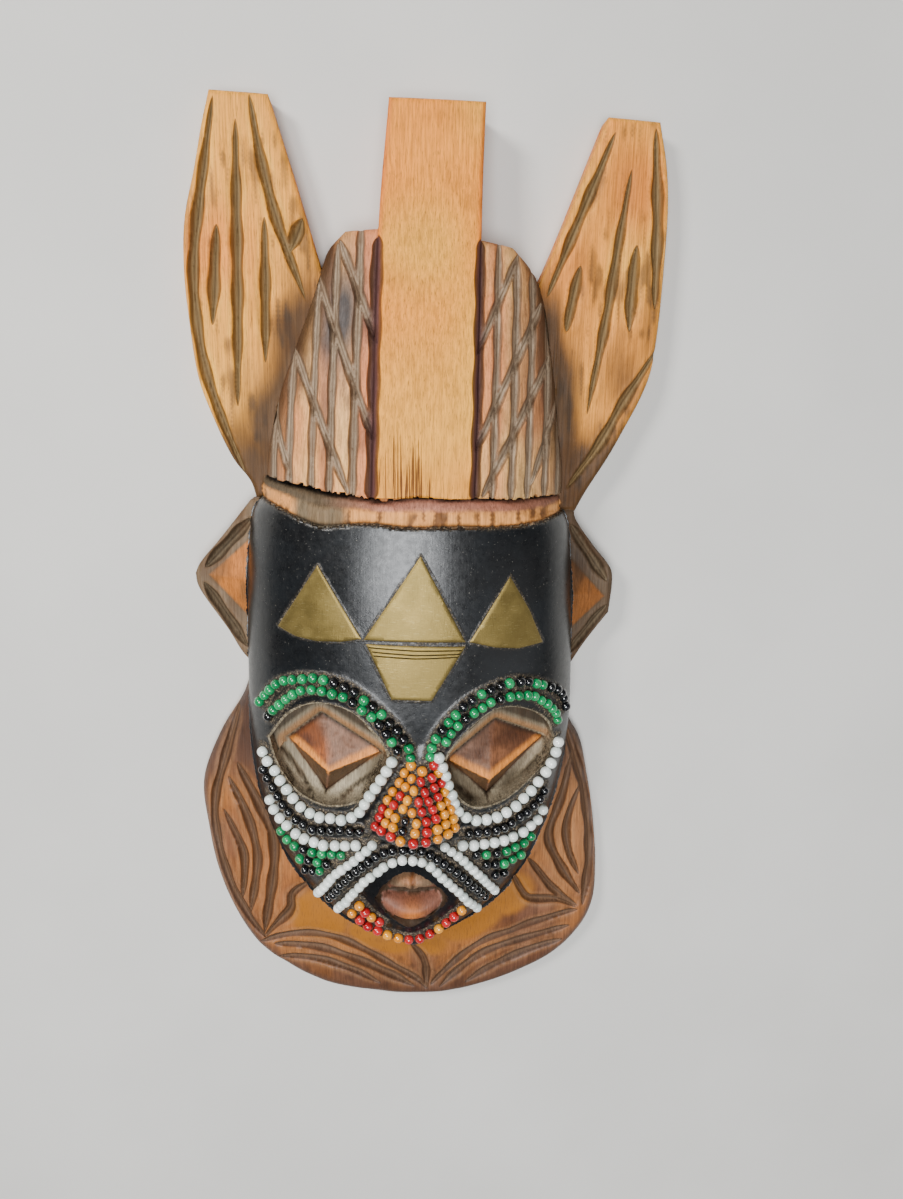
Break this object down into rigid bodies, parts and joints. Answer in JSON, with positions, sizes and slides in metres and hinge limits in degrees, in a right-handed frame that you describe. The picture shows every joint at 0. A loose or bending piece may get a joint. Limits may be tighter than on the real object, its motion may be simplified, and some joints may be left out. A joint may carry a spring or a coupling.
{
  "type": "carved african mask",
  "caption": "Carved wooden wall mask with two broad horns, a centre bar, a scalloped collar, glass bead rows and brass inlays; scooped back.",
  "frame": {"origin": "on the flat back plane, under the middle of the mask's box", "axes": "+Z out of the face, +Y from the collar to the horns, +X to the right of the face as it is looked at; the mask lies on its back"},
  "size_m": [0.1806, 0.3667, 0.054],
  "materials": {
    "carved_wood": "carved light hardwood, stained orange-brown and varnished; face and cap painted satin black, grooves burnt dark",
    "brass_sheet": "thin, scratched, dull olive gold",
    "green_beads": "small opaque glass beads, glossy green with single black ones",
    "white_beads": "small opaque glass beads, glossy white, dusty between",
    "black_beads": "small opaque glass beads, glossy black",
    "mixed_beads": "small opaque glass beads, glossy orange-red, yellow and a few black"
  },
  "bodies": {
    "root": {"beads_brow_left_lower": "green_beads", "beads_brow_left_upper": "green_beads", "beads_brow_right_lower": "green_beads", "beads_brow_right_upper": "green_beads", "beads_cheek_left_black": "black_beads", "beads_cheek_left_green_1": "green_beads", "beads_cheek_left_green_2": "green_beads", "beads_cheek_left_green_3": "green_beads", "beads_cheek_left_white_1": "white_beads", "beads_cheek_left_white_2": "white_beads", "beads_cheek_right_black": "black_beads", "beads_cheek_right_green_1": "green_beads", "beads_cheek_right_green_2": "green_beads", "beads_cheek_right_green_3": "green_beads", "beads_cheek_right_white_1": "white_beads", "beads_cheek_right_white_2": "white_beads", "beads_chin_inner": "mixed_beads", "beads_chin_outer": "mixed_beads", "beads_mouth_arch": "white_beads", "beads_mouth_arm_left": "white_beads", "beads_mouth_arm_right": "white_beads", "beads_mouth_black_arch": "black_beads", "beads_nose_1": "mixed_beads", "beads_nose_2": "mixed_beads", "beads_nose_3": "mixed_beads", "beads_nose_4": "mixed_beads", "beads_nose_5": "mixed_beads", "beads_nose_6": "mixed_beads", "beads_nose_7": "mixed_beads", "beads_nose_8": "mixed_beads", "brass_plate_centre": "brass_sheet", "brass_plate_left": "brass_sheet", "brass_plate_lower": "brass_sheet", "brass_plate_right": "brass_sheet", "carved_wood_mask": "carved_wood"}
  },
  "joints": []
}
